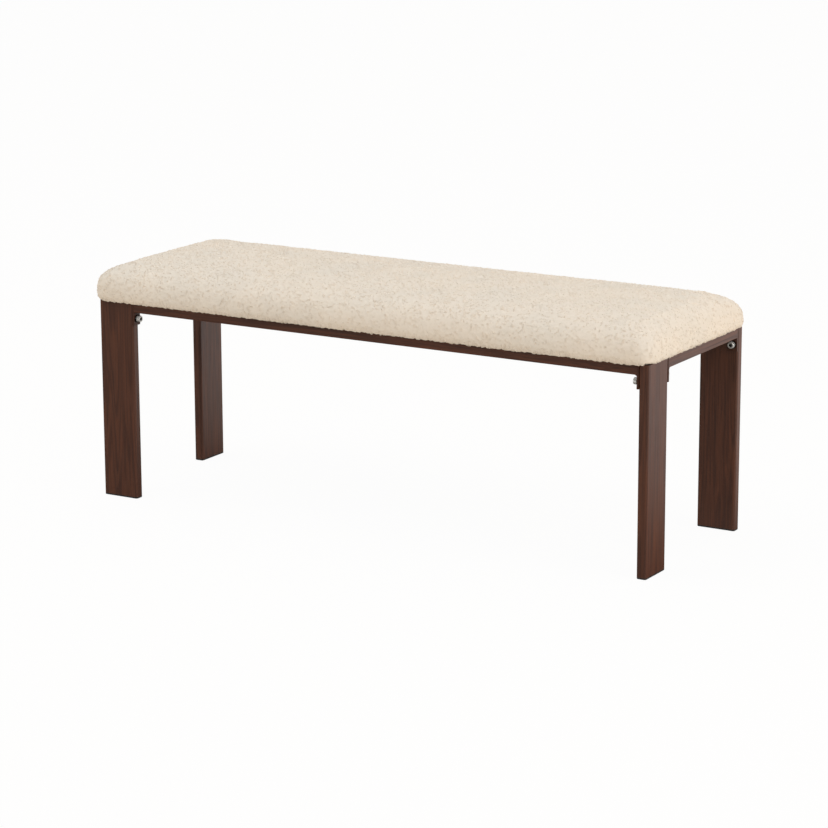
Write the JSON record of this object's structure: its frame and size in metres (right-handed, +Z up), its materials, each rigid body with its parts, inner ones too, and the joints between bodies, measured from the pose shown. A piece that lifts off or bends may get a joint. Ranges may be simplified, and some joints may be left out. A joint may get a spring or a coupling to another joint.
{
  "type": "upholstered bench",
  "caption": "Long backless bench with a crowned, fabric-covered seat pad on a bolted frame of flat brown steel tube legs and slim rails.",
  "frame": {"origin": "on the floor under the middle of the seat", "axes": "+X along the bench to the right, +Y from the front to the back, +Z up"},
  "size_m": [1.24, 0.42, 0.4775],
  "materials": {
    "pile_fabric": "short curly pile",
    "foam": "open-cell foam",
    "plywood": "raw",
    "dust_cloth": "non-woven cloth",
    "wood_grain_steel": "satin walnut-grain coating",
    "brown_plate": "satin",
    "black_plastic": "matt",
    "zinc": "bright zinc plate",
    "dark_washer": "black oxide"
  },
  "bodies": {
    "root": {"seat_cover": "pile_fabric", "foam_pad": "foam", "seat_board": "plywood", "dust_cover": "dust_cloth", "leg_front_left": "wood_grain_steel", "leg_front_right": "wood_grain_steel", "leg_back_right": "wood_grain_steel", "leg_back_left": "wood_grain_steel", "foot_glide_front_left": "black_plastic", "foot_glide_front_right": "black_plastic", "foot_glide_back_right": "black_plastic", "foot_glide_back_left": "black_plastic", "front_rail": "wood_grain_steel", "right_rail": "wood_grain_steel", "back_rail": "wood_grain_steel", "left_rail": "wood_grain_steel", "front_rail_plates": "brown_plate", "right_rail_plates": "brown_plate", "back_rail_plates": "brown_plate", "left_rail_plates": "brown_plate", "corner_bolts": "zinc", "flat_washers": "dark_washer", "leg_nuts": "zinc", "seat_screws": "zinc"}
  },
  "joints": []
}
